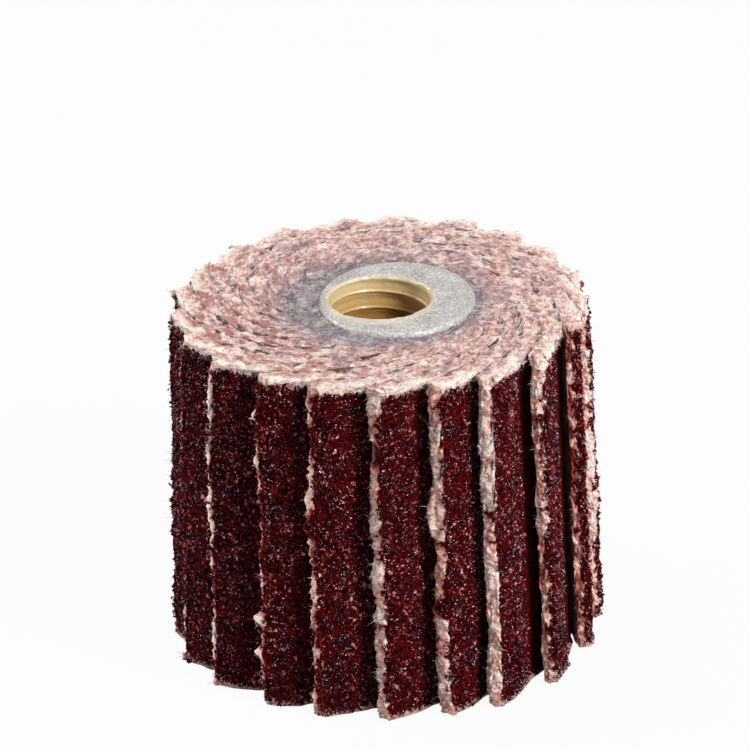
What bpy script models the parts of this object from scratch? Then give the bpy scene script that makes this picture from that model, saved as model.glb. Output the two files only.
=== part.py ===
"""Flap wheel: sheets of coated abrasive cloth, set in resin round a cast hub.

Units are metres and +Z is up. The wheel stands on one end, with its axis along Z and the
origin on that axis, at the foot.
"""

import math

import bmesh
import bpy

MM = 0.001

# The wheel as a whole. The tips stand out a little further at the foot than at the top.
WHEEL_WIDTH = 25.0 * MM
OUTER_RADIUS = 15.25 * MM
TIP_FLARE = 0.35 * MM
FIRST_TIP_ANGLE = math.radians(-90.9)

# The flaps. Each is a flat sheet that the packing bends, with its grit on the outside.
FLAP_COUNT = 21
FLAP_THICKNESS = 1.35 * MM
FLAP_GAP = 0.05 * MM
GRIT_THICKNESS = 0.45 * MM
GRIT_SETBACK = 0.35 * MM
ROOT_STANDOFF = 2.5 * MM

# The free edges open a little: there the cloth side stands off the next sheet.
TIP_GAP = 0.4 * MM
TIP_GAP_LENGTH = 3.0 * MM

# The sheets are cut by hand: how far each tip stands beyond or short of the outer radius,
# anticlockwise from the front.
TIP_OFFSETS_MM = (
    0.15, 0.2, 0.5, 0.35, -0.1, -0.15, -0.1, 0.05, 0.15, 0.15, 0.15,
    0.1, 0.0, -0.05, -0.2, -0.05, 0.05, 0.1, 0.15, 0.05, 0.17,
)

# The hub. Its oval sits towards +X, and its bore stays on the wheel's axis.
BORE_RADIUS = 3.4 * MM
BORE_CHAMFER = 0.4 * MM
HUB_THIN_WALL = 0.85 * MM
HUB_PROUD = 0.3 * MM
HUB_EDGE_ROUND = 0.25 * MM

# The resin between the hub and the flap roots
RESIN_THIN_WALL = 0.45 * MM
RESIN_SIDE_WALL = 0.9 * MM
RESIN_SINK = 0.15 * MM
RESIN_CLEARANCE = 0.05 * MM

# How finely the curved faces are cut
ROUND_SEGMENTS = 96
SHEET_SEGMENTS = 18
ROOT_SEGMENTS = 4
ROUND_OVER_SEGMENTS = 3
CUT_OVERSHOOT = 1.0 * MM
SMOOTH_ANGLE = math.radians(35)

# A face is on the grit side where its normal is within this angle of straight outwards.
GRIT_SIDE_ANGLE = math.radians(60)

# Equal sheets packed round a centre take the shape of the involute of a circle, whose
# circumference is the thickness of all the sheets together.
FLAP_PITCH = FLAP_THICKNESS + FLAP_GAP
BASE_RADIUS = FLAP_COUNT * FLAP_PITCH / math.tau
PACK_HOLE_RADIUS = BASE_RADIUS + ROOT_STANDOFF

# The hub's oval is what the bore and the pack's hole leave for it.
RESIN_OUTER_RADIUS = PACK_HOLE_RADIUS - RESIN_CLEARANCE
HUB_REACH_LEFT = BORE_RADIUS + HUB_THIN_WALL
HUB_REACH_RIGHT = RESIN_OUTER_RADIUS - RESIN_THIN_WALL - RESIN_CLEARANCE
HUB_HALF_X = (HUB_REACH_RIGHT + HUB_REACH_LEFT) / 2
HUB_HALF_Y = RESIN_OUTER_RADIUS - RESIN_SIDE_WALL - RESIN_CLEARANCE
HUB_CENTRE_X = (HUB_REACH_RIGHT - HUB_REACH_LEFT) / 2
HUB_TOP = WHEEL_WIDTH + HUB_PROUD


def new_collection(name):
    collection = bpy.data.collections.new(name)
    bpy.context.scene.collection.children.link(collection)
    return collection


def new_material(name, colour, roughness):
    material = bpy.data.materials.new(name)
    material.use_nodes = True
    material.diffuse_color = (*colour, 1.0)
    shader = material.node_tree.nodes["Principled BSDF"]
    shader.inputs["Base Color"].default_value = (*colour, 1.0)
    shader.inputs["Roughness"].default_value = roughness
    shader.inputs["Metallic"].default_value = 0.0
    return material


def add_object(name, mesh, collection, materials):
    thing = bpy.data.objects.new(name, mesh)
    collection.objects.link(thing)
    for material in materials:
        mesh.materials.append(material)
    return thing


def make_cutter(thing):
    thing.hide_render = True
    thing.display_type = "WIRE"


def cut(thing, cutter):
    """Take the cutter's shape out of the thing."""
    boolean = thing.modifiers.new("cut " + cutter.name, "BOOLEAN")
    boolean.operation = "DIFFERENCE"
    boolean.solver = "EXACT"
    boolean.object = cutter


def smooth(mesh):
    """Smooth the rounded faces and keep the true edges sharp."""
    mesh.shade_smooth()
    mesh.set_sharp_from_angle(angle=SMOOTH_ANGLE)


def oval_block(name, half_x, half_y, centre_x, low, high):
    """An upright oval block, as a mesh with its size and place applied."""
    mesh = bpy.data.meshes.new(name)
    body = bmesh.new()
    bmesh.ops.create_cone(
        body, cap_ends=True, segments=ROUND_SEGMENTS, radius1=1.0, radius2=1.0, depth=1.0
    )
    bmesh.ops.scale(body, vec=(half_x, half_y, high - low), verts=body.verts)
    bmesh.ops.translate(body, vec=(centre_x, 0.0, (low + high) / 2), verts=body.verts)
    body.to_mesh(mesh)
    body.free()
    smooth(mesh)
    return mesh


def turned(name, profile):
    """A shape turned round the Z axis, from (radius, height) pairs read from top to bottom."""
    mesh = bpy.data.meshes.new(name)
    points = [(radius, 0.0, height) for radius, height in profile]
    edges = [(i, i + 1) for i in range(len(points) - 1)]
    mesh.from_pydata(points, edges, [])
    return mesh


def add_screw(thing):
    screw = thing.modifiers.new("turn", "SCREW")
    screw.axis = "Z"
    screw.angle = math.tau
    screw.steps = ROUND_SEGMENTS
    screw.render_steps = ROUND_SEGMENTS
    screw.use_merge_vertices = True
    screw.merge_threshold = 0.01 * MM


def bore_cutter(collection):
    """The bore with a chamfer at both mouths, a little longer than the hub."""
    over = CUT_OVERSHOOT
    mouth = BORE_RADIUS + BORE_CHAMFER + over
    profile = (
        (0.0, HUB_TOP + over),
        (mouth, HUB_TOP + over),
        (BORE_RADIUS, HUB_TOP - BORE_CHAMFER),
        (BORE_RADIUS, BORE_CHAMFER),
        (mouth, -over),
        (0.0, -over),
    )
    cutter = add_object("bore_cutter", turned("bore_cutter", profile), collection, [])
    add_screw(cutter)
    make_cutter(cutter)
    return cutter


def make_hub(parts, cutters):
    """The cast core: an oval plug, standing proud at the top, with rounded rims and a bore."""
    material = new_material("cast resin, grey white", (0.58, 0.58, 0.57), 0.42)
    mesh = oval_block("hub", HUB_HALF_X, HUB_HALF_Y, HUB_CENTRE_X, 0.0, HUB_TOP)
    hub = add_object("hub", mesh, parts, [material])
    bevel = hub.modifiers.new("round over", "BEVEL")
    bevel.width = HUB_EDGE_ROUND
    bevel.segments = ROUND_OVER_SEGMENTS
    bevel.limit_method = "ANGLE"
    bevel.angle_limit = SMOOTH_ANGLE
    cut(hub, bore_cutter(cutters))
    hub.modifiers.new("even shading", "WEIGHTED_NORMAL")


def make_potting_resin(parts, cutters):
    """The adhesive: a ring that fills the space between the hub's oval and the flap roots."""
    material = new_material("potting adhesive, purple grey", (0.22, 0.19, 0.21), 0.6)
    low, high = RESIN_SINK, WHEEL_WIDTH - RESIN_SINK
    mesh = oval_block("potting_resin", RESIN_OUTER_RADIUS, RESIN_OUTER_RADIUS, 0.0, low, high)
    ring = add_object("potting_resin", mesh, parts, [material])
    seat = oval_block(
        "hub_seat_cutter",
        HUB_HALF_X + RESIN_CLEARANCE,
        HUB_HALF_Y + RESIN_CLEARANCE,
        HUB_CENTRE_X,
        -CUT_OVERSHOOT,
        HUB_TOP + CUT_OVERSHOOT,
    )
    cutter = add_object("hub_seat_cutter", seat, cutters, [])
    make_cutter(cutter)
    cut(ring, cutter)
    ring.modifiers.new("even shading", "WEIGHTED_NORMAL")


def turn_at(radius, depth):
    """How far the sheet has unwound where its layer at this depth reaches this radius."""
    return (math.sqrt(radius**2 - BASE_RADIUS**2) + depth) / BASE_RADIUS


def sheet_point(turn, depth):
    """A point of the packed sheet seen from above, at a depth below its grit side.

    A string unwound from the base circle draws the involute, and a layer deeper in the sheet
    is the same curve with a shorter string. The sheets sweep clockwise from root to tip.
    """
    string = BASE_RADIUS * turn - depth
    x = BASE_RADIUS * math.cos(turn) + string * math.sin(turn)
    y = BASE_RADIUS * math.sin(turn) - string * math.cos(turn)
    return x, -y


def along(first, last, count):
    """Evenly spaced values from first to last, both included."""
    return [first + (last - first) * i / count for i in range(count + 1)]


def cloth_depth(turn, tip_turn):
    """How deep the cloth side lies: less near the free edge, which stands off the next sheet."""
    from_tip = BASE_RADIUS * (tip_turn**2 - turn**2) / 2
    opened = max(0.0, 1 - from_tip / TIP_GAP_LENGTH)
    return FLAP_THICKNESS - TIP_GAP * opened**2


def flap_outline(tip_radius):
    """The edge of one flap seen from above: grit side out, cut end, cloth side back, root."""
    grit_tip = turn_at(tip_radius, 0.0)
    root = turn_at(PACK_HOLE_RADIUS, 0.0)
    cloth_root = turn_at(PACK_HOLE_RADIUS, FLAP_THICKNESS)
    setback = GRIT_SETBACK / (BASE_RADIUS * grit_tip)
    outline = [sheet_point(turn, 0.0) for turn in along(root, grit_tip - setback, SHEET_SEGMENTS)]
    outline.append(sheet_point(grit_tip, GRIT_THICKNESS))
    back = along(grit_tip, cloth_root, SHEET_SEGMENTS)
    outline += [sheet_point(turn, cloth_depth(turn, grit_tip)) for turn in back]
    for depth in along(FLAP_THICKNESS, 0.0, ROOT_SEGMENTS)[1:-1]:
        outline.append(sheet_point(turn_at(PACK_HOLE_RADIUS, depth), depth))
    return outline


def flat_block(name, outline, height, heading):
    """An outline extruded upwards from z = 0 and turned about the axis, made into a mesh."""
    curve = bpy.data.curves.new(name, "CURVE")
    curve.dimensions = "2D"
    curve.fill_mode = "BOTH"
    curve.extrude = height / 2
    spline = curve.splines.new("POLY")
    spline.points.add(len(outline) - 1)
    for point, (x, y) in zip(spline.points, outline):
        point.co = (x, y, 0.0, 1.0)
    spline.use_cyclic_u = True
    pattern = bpy.data.objects.new(name, curve)
    bpy.context.scene.collection.objects.link(pattern)
    pattern.location.z = height / 2
    pattern.rotation_euler.z = heading
    bpy.context.view_layer.update()
    evaluated = pattern.evaluated_get(bpy.context.evaluated_depsgraph_get())
    mesh = bpy.data.meshes.new_from_object(evaluated)
    mesh.transform(pattern.matrix_world)
    bpy.data.objects.remove(pattern)
    body = bmesh.new()
    body.from_mesh(mesh)
    bmesh.ops.remove_doubles(body, verts=body.verts, dist=0.001 * MM)
    bmesh.ops.recalc_face_normals(body, faces=body.faces)
    body.to_mesh(mesh)
    body.free()
    mesh.name = name
    return mesh


def flare(mesh):
    """Let the flaps stand further out at the foot than at the top, and not at all at the root."""
    for vertex in mesh.vertices:
        radius = vertex.co.xy.length
        reach = (radius - PACK_HOLE_RADIUS) / (OUTER_RADIUS - PACK_HOLE_RADIUS)
        lean = 1 - 2 * vertex.co.z / WHEEL_WIDTH
        vertex.co.xy *= 1 + TIP_FLARE * reach * lean / radius


def paint_grit_side(mesh):
    """Give the faces that look outwards the second material, the grit."""
    for face in mesh.polygons:
        outwards = face.normal.xy.dot(face.center.xy.normalized())
        if outwards > math.cos(GRIT_SIDE_ANGLE):
            face.material_index = 1


def make_flaps(parts):
    """The sheets, all in one pack, with their tips at the front first and then anticlockwise."""
    cloth = new_material("woven cloth, pale pink", (0.66, 0.42, 0.37), 0.9)
    grit = new_material("aluminium oxide grit, dark red", (0.07, 0.015, 0.016), 0.55)
    full_turn = turn_at(OUTER_RADIUS, 0.0)
    swept = full_turn - math.atan(full_turn)
    for i in range(FLAP_COUNT):
        name = f"flap_{i + 1:02d}"
        tip_radius = OUTER_RADIUS + TIP_OFFSETS_MM[i % len(TIP_OFFSETS_MM)] * MM
        heading = FIRST_TIP_ANGLE + swept + math.tau * i / FLAP_COUNT
        mesh = flat_block(name, flap_outline(tip_radius), WHEEL_WIDTH, heading)
        flare(mesh)
        add_object(name, mesh, parts, [cloth, grit])
        paint_grit_side(mesh)
        smooth(mesh)


def main():
    for thing in list(bpy.data.objects):
        bpy.data.objects.remove(thing)
    parts = new_collection("flap_wheel")
    cutters = new_collection("cutters")
    make_hub(parts, cutters)
    make_potting_resin(parts, cutters)
    make_flaps(parts)


main()
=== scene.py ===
"""Looks for a small flap wheel of coated abrasive cloth, standing on one end on white.

Shapes are worked out in millimetres and placed in metres, in the frame of the solids.
"""

import math

import bmesh
import bpy
import numpy as np
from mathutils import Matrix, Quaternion, Vector


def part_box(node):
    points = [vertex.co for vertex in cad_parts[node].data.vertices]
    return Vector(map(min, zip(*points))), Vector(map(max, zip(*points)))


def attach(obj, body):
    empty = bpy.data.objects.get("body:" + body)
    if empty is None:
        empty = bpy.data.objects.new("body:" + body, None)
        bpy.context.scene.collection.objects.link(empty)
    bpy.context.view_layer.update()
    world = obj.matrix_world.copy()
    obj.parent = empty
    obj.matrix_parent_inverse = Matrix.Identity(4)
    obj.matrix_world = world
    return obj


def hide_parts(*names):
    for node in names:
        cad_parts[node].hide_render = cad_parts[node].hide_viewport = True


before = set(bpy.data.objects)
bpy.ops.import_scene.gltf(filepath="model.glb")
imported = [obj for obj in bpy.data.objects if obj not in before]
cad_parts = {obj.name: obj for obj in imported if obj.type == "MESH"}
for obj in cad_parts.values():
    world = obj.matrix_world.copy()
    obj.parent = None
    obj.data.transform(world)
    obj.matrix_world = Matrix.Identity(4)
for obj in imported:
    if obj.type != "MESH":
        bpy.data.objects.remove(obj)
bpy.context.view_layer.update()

MM = 0.001

# The wheel, as the solids have it
WIDTH = 25.0
RADIUS = 15.25
FLARE = 0.35
FLAPS = 21
THICKNESS = 1.35
PITCH = 1.40
ROOT_STANDOFF = 2.5
FIRST_TIP = math.radians(-90.9)
TIP_OFFSETS = (
    0.15, 0.2, 0.5, 0.35, -0.1, -0.15, -0.1, 0.05, 0.15, 0.15, 0.15,
    0.1, 0.0, -0.05, -0.2, -0.05, 0.05, 0.1, 0.15, 0.05, 0.17,
)
BASE = FLAPS * PITCH / math.tau
HOLE = BASE + ROOT_STANDOFF
BORE = 3.4
BORE_MOUTH = 3.72
HUB_LOW, HUB_HIGH = (np.array(corner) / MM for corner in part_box("hub"))
HUB_HALF_X, HUB_HALF_Y = (HUB_HIGH - HUB_LOW)[:2] / 2
HUB_CENTRE_X = (HUB_HIGH + HUB_LOW)[0] / 2
HUB_TOP = HUB_HIGH[2]

# The coated cloth. Depth runs from the grit side to the back of the cloth.
COAT_DEPTH = 0.15
CHAMFER_DEPTH = 0.5
CHAMFER_BACK = 0.35
# How much of each sheet's side shows, back from its free edge
SHOWN_BACK = 4.6
# How far each free edge stands off the sheet behind it, and over what length the gap closes
TIP_GAPS = (
    0.5, 0.5, 0.45, 0.42, 0.25, 0.2, 0.25, 0.3, 0.3, 0.3, 0.3,
    0.3, 0.3, 0.3, 0.3, 0.3, 0.35, 0.5, 0.6, 0.6, 0.6,
)
TIP_GAP_LENGTH = 3.2
# Each sheet is pressed in a little where the next one's free edge stands over it
PRESSED = 0.4

# How far the red resin has run into each free edge, from clean to soaked
EDGE_STAIN = (
    -0.05, -0.08, -0.28, 0.08, 0.18, -0.15, 0.1, 0.0, 0.1, -0.1, 0.0,
    0.1, 0.0, 0.1, 0.0, 0.1, 0.1, 0.1, 0.2, 0.4, 0.22,
)
# How far the coat and its grains turn over each free edge
COAT_REACH = (
    0.0, 0.0, 0.0, 0.25, 0.45, 0.4, 0.2, 0.3, 0.1, 0.25, 0.3,
    0.15, 0.3, 0.2, 0.1, 0.3, 0.25, 0.1, 0.0, 0.1, 0.0,
)
# What stands out along the free edges in view: the flap, the middle and half of the stretch up
# the edge, how much redder it is there, and how far it sticks out
EDGE_SPOTS = (
    (0, 20.2, 0.7, 0.35, -0.1),
    (0, 16.3, 0.6, 0.35, 0.0),
    (0, 15.1, 0.4, -0.5, 0.15),
    (0, 11.3, 0.7, -0.5, 0.1),
    (0, 7.8, 0.4, -0.6, 0.15),
    (1, 23.6, 1.0, 0.5, 0.0),
    (1, 13.1, 0.3, 0.4, 0.0),
    (1, 8.1, 0.9, 0.6, 0.35),
    (1, 5.0, 0.8, 0.3, 0.1),
    (2, 18.4, 0.3, 0.4, -0.1),
    (2, 14.8, 0.4, 0.4, 0.0),
    (18, 21.7, 1.0, -0.4, 0.1),
    (18, 18.0, 0.9, -0.5, 0.15),
    (18, 12.5, 1.2, -0.4, 0.1),
    (18, 4.0, 1.5, -0.4, 0.1),
    (19, 21.9, 0.35, -0.8, 0.2),
    (19, 18.5, 0.3, -0.7, 0.2),
    (19, 6.4, 0.4, -1.0, 0.35),
    (19, 3.8, 0.35, -1.0, 0.35),
    (20, 21.4, 1.0, 0.55, -0.1),
    (20, 18.6, 0.4, -0.25, 0.0),
    (20, 16.4, 0.4, -0.3, 0.15),
    (20, 14.3, 0.9, 0.8, 0.45),
    (20, 10.9, 0.5, 0.4, 0.0),
    (20, 7.4, 0.6, 0.3, 0.0),
)
# One free edge has split into two plies round this height
SPLIT_FLAP = 1
SPLIT_MIDDLE = 15.2
SPLIT_HALF = 1.7

# Grains of about 0.25 mm, laid nearly touching, with larger ones between them
GRAIN_SPACING = 0.23
GRAIN_RADIUS = 0.138
GRAIN_JITTER = 0.08

# Thread M8 x 1.25, right-hand; at angle 0 the middle of a root lies at the start
THREAD_PITCH = 1.25
THREAD_DEPTH = 0.22
THREAD_START = 0.71

# Each flap reads its noise this much further on, so that no two are alike
FLAP_SHIFT = 40.0
# Seeds of the random draws
SHAPE_SEED = 7
GRIT_SEED = 500
FIBRE_SEED = 900


def lattice(x, y, z, seed):
    """A repeatable number from -1 to 1 for each whole-number point."""
    h = (x * 374761393 + y * 668265263 + z * 2246822519 + seed * 3266489917) & 0xFFFFFFFF
    h = ((h ^ (h >> 15)) * 2246822519) & 0xFFFFFFFF
    h = ((h ^ (h >> 13)) * 3266489917) & 0xFFFFFFFF
    return ((h ^ (h >> 16)) & 0xFFFF) / 32767.5 - 1.0


def noise(points, size, seed):
    """Smooth lumps from -1 to 1, of the given size in mm along each axis."""
    spot = points / np.array(size, dtype=float)
    cell = np.floor(spot).astype(np.int64)
    part = spot - cell
    part = part * part * (3 - 2 * part)
    total = 0.0
    for dx in (0, 1):
        for dy in (0, 1):
            for dz in (0, 1):
                share = (
                    (part[..., 0] if dx else 1 - part[..., 0])
                    * (part[..., 1] if dy else 1 - part[..., 1])
                    * (part[..., 2] if dz else 1 - part[..., 2])
                )
                total = total + share * lattice(
                    cell[..., 0] + dx, cell[..., 1] + dy, cell[..., 2] + dz, seed
                )
    return total


def ease(value, low, high):
    """0 below low, 1 above high, and a soft step between."""
    t = np.clip((value - low) / (high - low), 0.0, 1.0)
    return t * t * (3 - 2 * t)


def turn_at(radius, depth):
    """The turn along the involute, in radians, where a point this deep is this far out."""
    return (np.sqrt(radius**2 - BASE**2) + depth) / BASE


def place(flap, back, depth, height):
    """Where a point of a packed flap lies, in metres: back from its tip, depth below its grit."""
    full = turn_at(RADIUS, 0.0)
    heading = FIRST_TIP + full - math.atan(full) + math.tau * flap / FLAPS
    turn = np.sqrt(turn_at(RADIUS + TIP_OFFSETS[flap], 0.0) ** 2 - 2 * back / BASE)
    string = BASE * turn - depth
    x = BASE * np.cos(turn) + string * np.sin(turn)
    y = string * np.cos(turn) - BASE * np.sin(turn)
    radius = np.hypot(x, y)
    reach = (radius - HOLE) / (RADIUS - HOLE)
    push = 1 + FLARE * reach * (1 - 2 * height / WIDTH) / radius
    c, s = math.cos(heading), math.sin(heading)
    return np.stack([(x * c - y * s) * push, (x * s + y * c) * push, height], -1) * MM


def new_mesh(name, points, faces, smooth=True):
    """A mesh from arrays of points, in metres, and triangles."""
    mesh = bpy.data.meshes.new(name)
    mesh.vertices.add(len(points))
    mesh.vertices.foreach_set("co", np.ascontiguousarray(points, dtype=np.float32).ravel())
    mesh.loops.add(faces.size)
    mesh.loops.foreach_set("vertex_index", np.ascontiguousarray(faces, dtype=np.int32).ravel())
    mesh.polygons.add(len(faces))
    mesh.polygons.foreach_set("loop_start", np.arange(0, faces.size, 3, dtype=np.int32))
    mesh.polygons.foreach_set("use_smooth", np.full(len(faces), smooth))
    mesh.update(calc_edges=True)
    return mesh


def note(mesh, name, vectors):
    """Keep a vector for each point, for the materials to read."""
    layer = mesh.attributes.new(name, "FLOAT_VECTOR", "POINT")
    layer.data.foreach_set("vector", np.ascontiguousarray(vectors, dtype=np.float32).ravel())


def new_piece(mesh, material, slot, *replaced):
    """An object for the mesh, with its material, on the one body, hiding the solids it replaces; the
    slot is not used.
    """
    piece = bpy.data.objects.new(mesh.name, mesh)
    bpy.context.scene.collection.objects.link(piece)
    mesh.materials.append(material)
    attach(piece, "root")
    if replaced:
        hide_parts(*replaced)
    return piece


def cells(index):
    """Two triangles for each cell of a grid of point numbers."""
    a, b, c, d = index[:-1, :-1], index[1:, :-1], index[1:, 1:], index[:-1, 1:]
    return np.concatenate(
        [np.stack([a, b, c], -1).reshape(-1, 3), np.stack([a, c, d], -1).reshape(-1, 3)]
    )


def stitch(left, right):
    """Triangles between two rows of points that needn't be as long as each other."""
    i, j, faces = 0, 0, []
    m, n = len(left) - 1, len(right) - 1
    while i < m or j < n:
        if j == n or (i < m and (i + 1) * n <= (j + 1) * m):
            faces.append((left[i], right[j], left[i + 1]))
            i += 1
        else:
            faces.append((left[i], right[j], right[j + 1]))
            j += 1
    return np.array(faces)


def facing_out(points, faces):
    """The same triangles, all wound so that they face outwards."""
    body = bmesh.new()
    mesh = new_mesh("winding", points, faces)
    body.from_mesh(mesh)
    bmesh.ops.recalc_face_normals(body, faces=body.faces)
    body.verts.index_update()
    wound = np.array([[v.index for v in f.verts] for f in body.faces])
    body.free()
    bpy.data.meshes.remove(mesh)
    return wound


def sheet_length(flap, depth):
    """From the tip to the root, along the sheet."""
    tip = turn_at(RADIUS + TIP_OFFSETS[flap], 0.0)
    return BASE * (tip**2 - turn_at(HOLE, depth) ** 2) / 2


class Cloth:
    """One closed skin for a sheet: fine where the cloth is cut, coarse on its sides."""

    def __init__(self):
        self.along, self.depth, self.height, count = [], [], [], 0

        def block(along, depth, height):
            nonlocal count
            along, depth, height = np.broadcast_arrays(along, depth, height)
            for kept, new in ((self.along, along), (self.depth, depth), (self.height, height)):
                kept.append(new.ravel().astype(float))
            index = np.arange(count, count + along.size).reshape(along.shape)
            count += along.size
            return index

        chamfer = np.linspace(COAT_DEPTH, CHAMFER_DEPTH, 5)
        depths = np.concatenate([chamfer, np.linspace(CHAMFER_DEPTH, THICKNESS, 9)[1:]])
        top_steps = np.linspace(0, 1, 135)[:, None]
        foot_steps = np.linspace(0, 1, 75)[:, None]
        heights = np.linspace(0, WIDTH, 201)[None, 1:-1]
        root_heights = np.linspace(0, WIDTH, 9)[None, 1:-1]
        top = block(top_steps, depths[None], WIDTH)
        foot = block(foot_steps, depths[None], 0.0)
        edge = block(0.0, depths[:, None], heights)
        root = block(1.0, depths[:, None], root_heights)
        edge = np.concatenate([foot[0][:, None], edge, top[0][:, None]], 1)
        root = np.concatenate([foot[-1][:, None], root, top[-1][:, None]], 1)
        faces = [cells(top), cells(foot), cells(edge), cells(root)]
        # Points on the two sides, closest together where the sheet shows
        columns = np.concatenate([np.linspace(0.014, 0.26, 18), np.linspace(0.33, 0.96, 9)])
        rows = np.concatenate(
            [[0.4, 0.7, 1.0], np.linspace(2, 23, 18), [23.5, 23.8, 24.05, 24.3, 24.55]]
        )
        for side, depth in ((0, COAT_DEPTH), (-1, THICKNESS)):
            inner = block(columns[:, None], depth, rows[None])
            faces += [
                cells(inner),
                stitch(top[:, side], inner[:, -1]),
                stitch(foot[:, side], inner[:, 0]),
                stitch(edge[side], inner[0]),
                stitch(root[side], inner[-1]),
            ]
        self.along, self.depth, self.height = (
            np.concatenate(x) for x in (self.along, self.depth, self.height)
        )
        sheet = self.spread(0)
        self.faces = facing_out(place(0, *sheet.T), np.concatenate(faces))

    def spread(self, flap):
        """Back, depth and height of each point, before the cut ends are frayed."""
        lead = CHAMFER_BACK * np.clip(
            (CHAMFER_DEPTH - self.depth) / (CHAMFER_DEPTH - COAT_DEPTH), 0, 1
        )
        back = lead + (sheet_length(flap, self.depth) - lead) * self.along
        return np.stack([back, self.depth, self.height], -1)


def edge_spots(flap, height):
    """How much redder a free edge is at each height, and how much further it sticks out."""
    redder, further = np.zeros_like(height), np.zeros_like(height)
    for which, middle, half, red, out in EDGE_SPOTS:
        if which == flap:
            share = np.exp(-(((height - middle) / half) ** 2))
            redder += red * share
            further += out * share
    return redder, further


def stain_of(sheet, flap):
    """How far red resin has run into the cut edge: 0 where it is clean, 1 where it is soaked."""
    back, depth, height = sheet.T
    own = np.stack([np.full_like(back, FLAP_SHIFT * flap), depth, height], -1)
    long = noise(own, (9, 2.2, 2.0), 51)
    short = noise(own, (9, 0.6, 0.7), 52)
    crumbs = noise(own, (9, 0.25, 0.28), 53)
    redder = edge_spots(flap, height)[0]
    patchy = 0.42 + 0.28 * long + 0.36 * short + 0.22 * crumbs
    return np.clip(patchy + EDGE_STAIN[flap] + redder, 0.0, 1.0)


def coat_reach(flap, stain):
    """How far the coat turns over the free edge: further where resin soaked it."""
    return COAT_REACH[flap] - 0.12 + 0.75 * (stain - 0.75) + 0.5 * ease(stain, 0.8, 1.0)


def fray(sheet, flap):
    """Roughen the cut ends, open the free edge, swell the yarns at the rim, press in the side."""
    back, depth, height = sheet.T
    seed = 100 * flap
    own = sheet + np.array([FLAP_SHIFT * flap, 0, 0])
    x, y, _ = place(flap, back, depth, height).T / MM
    spot = np.stack([x, y, height], -1)
    top = ease(height, WIDTH - 0.5, WIDTH)
    rim = ease(height, WIDTH - 1.0, WIDTH - 0.45)
    foot = ease(-height, -0.7, -0.1)
    tip = ease(-back, -1.0, -0.3)
    opened = np.clip(1 - back / TIP_GAP_LENGTH, 0, 1) ** 2
    shown = ease(-back, -SHOWN_BACK, -SHOWN_BACK + 0.5)
    outer = ease(-depth, -0.5, -0.2)
    inner = ease(depth, THICKNESS - 0.3, THICKNESS)
    big = noise(own, (1.1, 0.6, 1.2), seed)
    mid = noise(own, (0.4, 0.28, 0.45), seed + 1)
    fine = noise(own, (0.18, 0.13, 0.17), seed + 2)
    side = noise(own, (1.0, 0.8, 1.1), seed + 3)
    small_side = noise(own, (0.4, 0.3, 0.35), seed + 4)
    slow = noise(own, (6.0, 5.0, 5.0), seed + 5)
    wave = noise(own, (2.0, 2.0, 2.0), seed + 6)
    clean = 0.5 - stain_of(sheet, flap)

    # Neighbouring sheets are cut together, so lumps and hollows run on from one to the next
    rise = 0.13 * noise(spot, (1.0, 1.0, 5.0), 91) + 0.14 * noise(spot, (0.42, 0.42, 5.0), 92)
    rise += 0.06 * fine + 0.03 * mid
    # Here and there on the front right two sheets have parted
    facing = max(0.0, math.cos(math.tau * (flap - 2.5) / FLAPS)) ** 4
    parted = ease(noise(own, (2.6, 9.0, 9.0), seed + 7), 0.6, 0.85) * ease(-depth, -0.35, -0.15)
    rise -= 0.5 * facing * parted
    length = sheet_length(flap, depth)
    rise = top * (rise - 0.14 * ease(back, length - 0.9, length))
    lift = foot * (0.06 + 0.07 * big + 0.06 * mid)

    out = tip * (0.1 * big + 0.12 * mid + 0.2 * fine + 0.12 * slow + 0.12 * wave + 0.25 * clean)
    out += tip * edge_spots(flap, height)[1]
    # The corners of the tips are worn round at the top
    out -= tip * rim * (0.12 + 0.4 * ease(-depth, -0.85, -0.15))
    if flap == SPLIT_FLAP:
        split = tip * np.exp(-(((height - SPLIT_MIDDLE) / SPLIT_HALF) ** 2))
        out += split * (0.5 * ease(depth, 0.7, 0.9) - 0.4 * ease(-np.abs(depth - 0.66), -0.14, -0.04))
    # Yarns swell out over the grit at the rim, the foot and the free edge
    lip = rim * outer * (shown * (0.14 + 0.14 * side + 0.15 * small_side) + (1 - shown) * 0.28)
    lip += foot * outer * (0.1 + 0.07 * side)
    front = ease(-back, -0.58, -0.3)
    lip += front * outer * (0.05 + 0.1 * side + 0.14 * small_side + 0.14 * clean)
    close = np.maximum(rim, foot) * inner * (1 - opened) * 0.08

    # The gap behind the free edge narrows at the top, least at the front right
    gap = TIP_GAPS[flap] + 0.16 * side + 0.12 * small_side
    gap *= 1 - (0.95 - 0.6 * facing) * rim
    gap *= opened * np.clip((depth - 0.45) / (THICKNESS - 0.45), 0, 1)

    pressed = PRESSED * ease(back, 2.3, 3.9) * ease(-back, -6.5, -5.0)
    pressed *= (1 - rim) * np.clip(1 - depth / THICKNESS, 0, 1)

    # The roots straggle inwards over the adhesive, further where the hub leaves more room
    room = HOLE - oval(np.arctan2(y, x), HUB_HALF_X, HUB_HALF_Y, HUB_CENTRE_X)
    root = rim * ease(back, length - 1.2, length)
    root *= room * (0.24 + 0.16 * big + 0.18 * side + 0.12 * mid)
    return np.stack(
        [
            back - out + root,
            depth - lip + close - gap + pressed,
            np.maximum(height + rise + lift, 0.0),
        ],
        -1,
    )


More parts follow.
